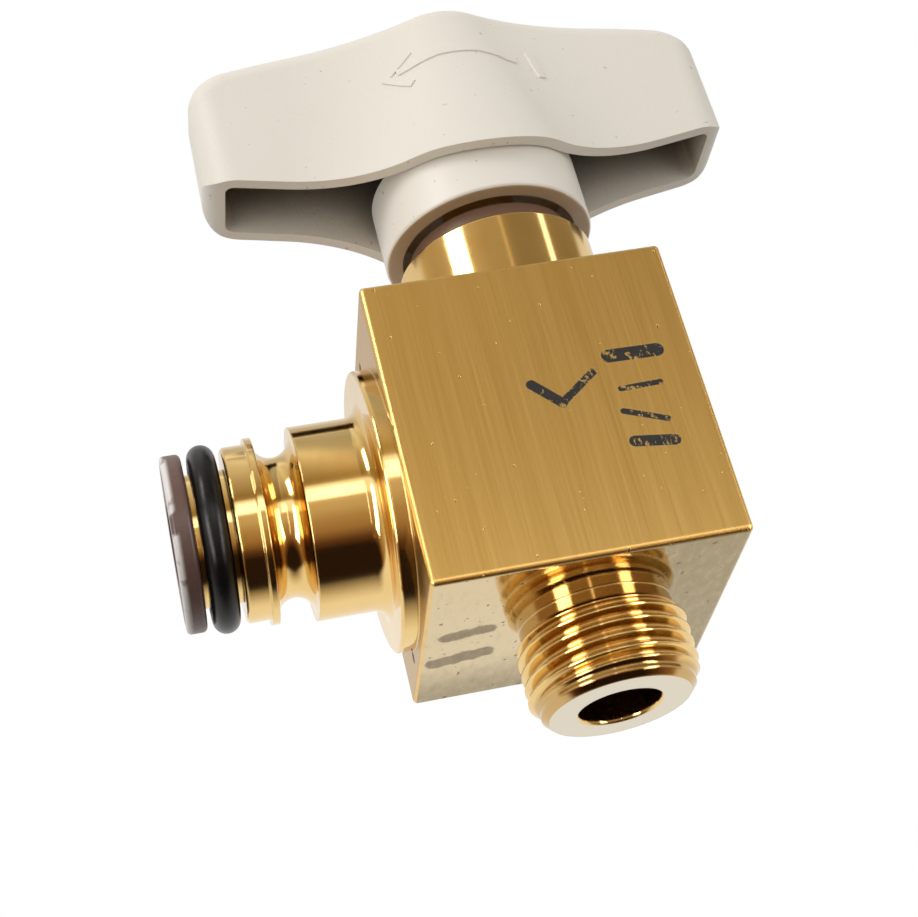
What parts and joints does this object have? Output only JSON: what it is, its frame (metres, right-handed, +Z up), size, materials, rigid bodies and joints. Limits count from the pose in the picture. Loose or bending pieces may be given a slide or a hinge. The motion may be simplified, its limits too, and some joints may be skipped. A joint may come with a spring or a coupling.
{
  "type": "needle valve",
  "caption": "Angle needle valve in square brass: plug-in inlet spigot with clip groove and O-ring, male threaded outlet, rising spindle with a swivelling needle, T-handle.",
  "frame": {"origin": "centre of the outlet's flat end face, on the spindle's axis", "axes": "+Z up the spindle to the handle; the outlet faces -Z; the inlet spigot points along -X; the block's stamped front face is -Y"},
  "size_m": [0.067, 0.028, 0.0808],
  "materials": {
    "body_brass": "brushed",
    "turned_brass": "turned, satin",
    "black_rubber": "semi-gloss, greased",
    "brown_plastic": "moulded, satin",
    "stainless": "machined",
    "white_ptfe": "matte",
    "white_plastic": "smooth satin",
    "beige_plastic": "fine mottled texture"
  },
  "bodies": {
    "valve": {"valve_body": "body_brass", "seat_insert": "turned_brass", "seat_o_ring": "black_rubber", "bonnet": "turned_brass", "bonnet_o_ring": "black_rubber", "guide_bush": "brown_plastic", "inlet_o_ring": "black_rubber", "inlet_nose_sleeve": "brown_plastic"},
    "needle_slide": {"needle": "stainless"},
    "handle_spindle": {"needle_retaining_ring": "stainless", "spindle": "turned_brass", "stem_thrust_washer": "white_ptfe", "stem_o_ring_lower": "black_rubber", "stem_o_ring_upper": "black_rubber", "stem_backup_ring": "white_ptfe", "handle_skirt": "white_plastic", "handle": "beige_plastic", "handle_washer": "stainless", "handle_screw": "stainless", "handle_cap": "beige_plastic"}
  },
  "joints": [
    {"name": "needle_lift", "type": "slide", "parent": "valve", "child": "needle_slide", "axis": [0, 0, 1], "range_m": [0, 0.00156]},
    {"name": "handle_turn", "type": "hinge", "parent": "needle_slide", "child": "handle_spindle", "pos_m": [0, 0, 0.06], "axis": [0, 0, 1], "range_deg": [0, 450]}
  ],
  "couplings": [
    {"joint": "handle_turn", "follows": "needle_lift", "rad_per_m": 5026.5}
  ]
}
